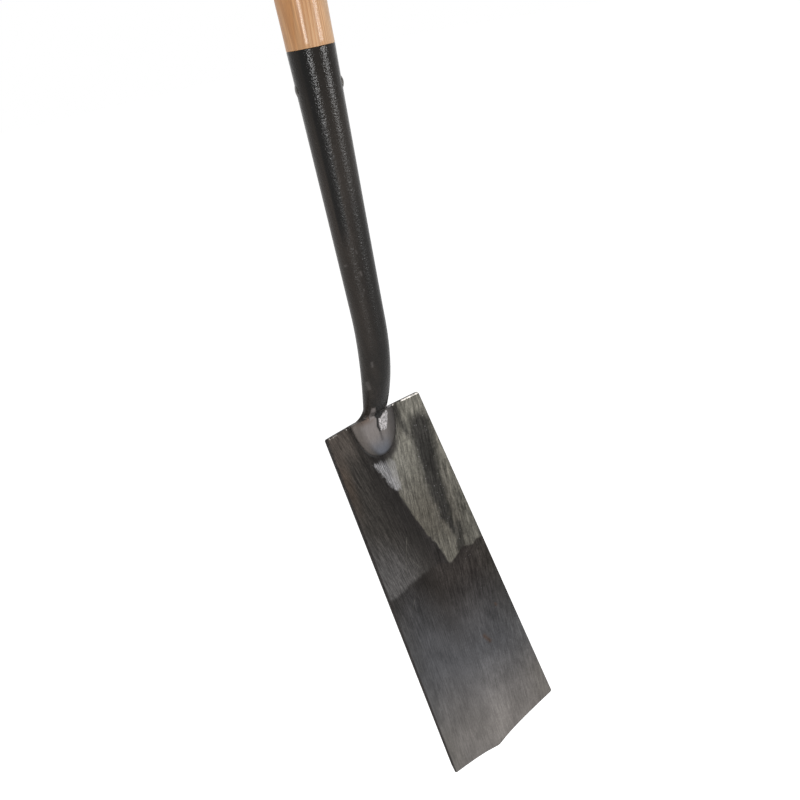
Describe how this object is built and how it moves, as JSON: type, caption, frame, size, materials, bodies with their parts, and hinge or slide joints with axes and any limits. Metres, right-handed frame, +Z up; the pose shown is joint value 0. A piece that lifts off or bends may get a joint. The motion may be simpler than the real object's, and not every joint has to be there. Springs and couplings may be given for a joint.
{
  "type": "trenching spade",
  "caption": "Trenching spade: a long narrow dished steel blade with a pointed cutting edge, on a cranked black socket with a riveted ash shaft and a T-grip.",
  "frame": {"origin": "on the shaft's axis, in the middle of its straight length, where a hand or a rack clip holds it", "axes": "+Z up along the shaft to the T-grip; -Y the way the hollow front of the blade faces; X across the blade"},
  "size_m": [0.138, 0.0989, 1.1507],
  "materials": {
    "blade_steel": "ground and lightly oiled, with darker patches",
    "socket_lacquer": "black lacquer over hammered steel, ground bare at the tongue",
    "fastener_steel": "hammered and ground",
    "ash": "clear lacquered ash, straight grain",
    "wedge_wood": "hardwood, lacquered end grain"
  },
  "bodies": {
    "root": {"blade": "blade_steel", "socket": "socket_lacquer", "socket_rivet": "fastener_steel", "shaft": "ash", "grip_bar": "ash", "tenon_wedge": "wedge_wood", "grip_pin": "fastener_steel"}
  },
  "joints": []
}
